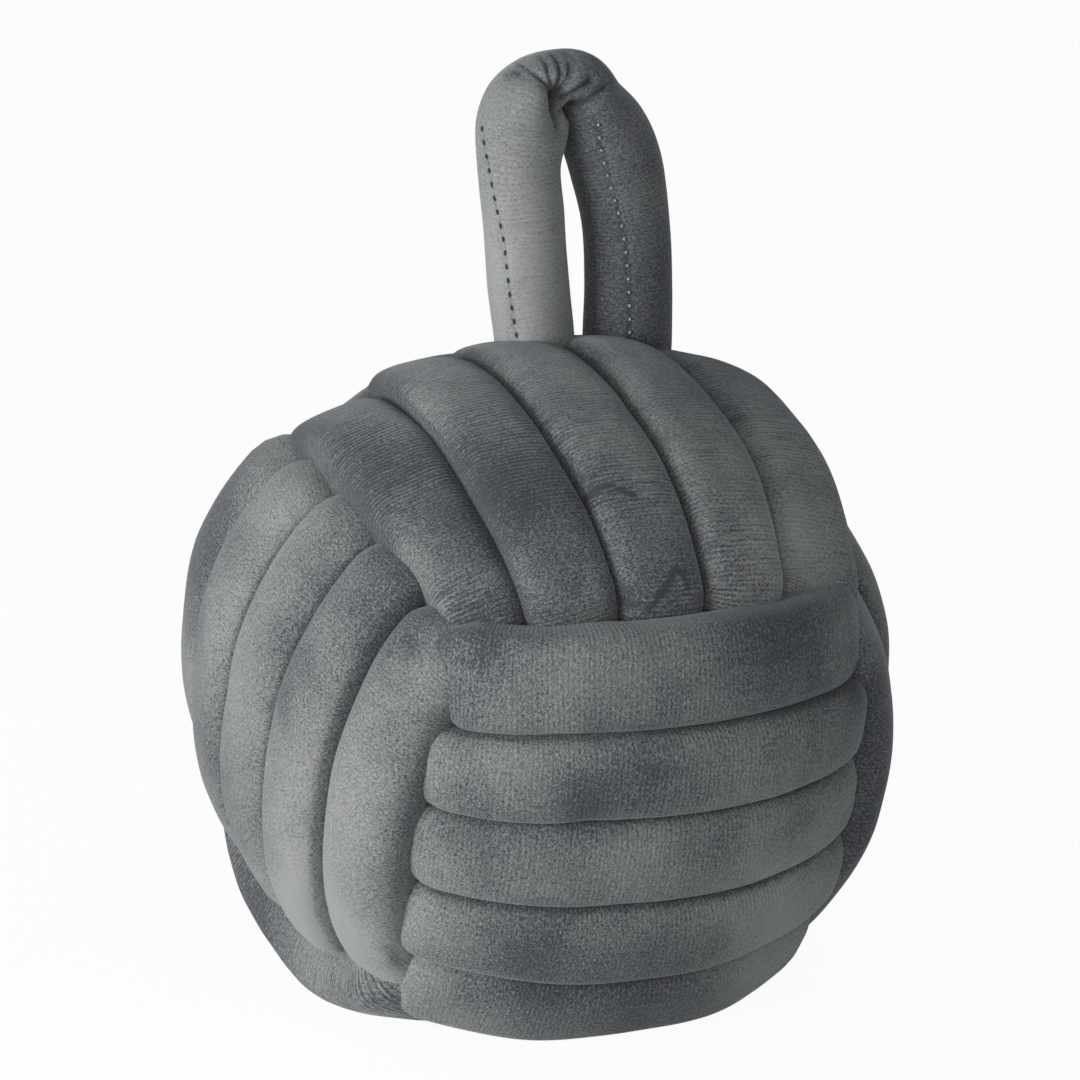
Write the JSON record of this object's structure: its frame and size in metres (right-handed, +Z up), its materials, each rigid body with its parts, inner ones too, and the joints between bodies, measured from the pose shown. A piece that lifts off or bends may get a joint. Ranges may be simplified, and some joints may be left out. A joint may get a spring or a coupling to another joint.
{
  "type": "rope knot doorstop",
  "caption": "Weighted doorstop shaped as a large stuffed velvet rope knot, wound in three crossing bands, with an upright stuffed loop handle behind its crown.",
  "frame": {"origin": "middle of the object's box on the floor, on the flat of the strands that it stands on", "axes": "+Z up, front of the knot (the band with level strands) towards -Y, +X to the right of someone looking at the front"},
  "size_m": [0.1552, 0.1658, 0.2198],
  "materials": {
    "velvet": "short soft pile, matte, brushed lighter and darker",
    "velvet_light": "the same velvet with its pile brushed towards the light",
    "velvet_dark": "the same velvet with its pile brushed away from the light",
    "wadding": "loose white fibre",
    "pouch_cloth": "plain unbleached cotton",
    "sand": "dry fine sand",
    "cord": "twisted cotton cord"
  },
  "bodies": {
    "root": {"front_back_winding": "velvet", "left_right_winding": "velvet_light", "top_bottom_winding": "velvet_dark", "handle_sleeve": "velvet", "handle_filling": "wadding", "weight_pouch": "pouch_cloth", "sand_fill": "sand", "pouch_tie": "cord"}
  },
  "joints": []
}
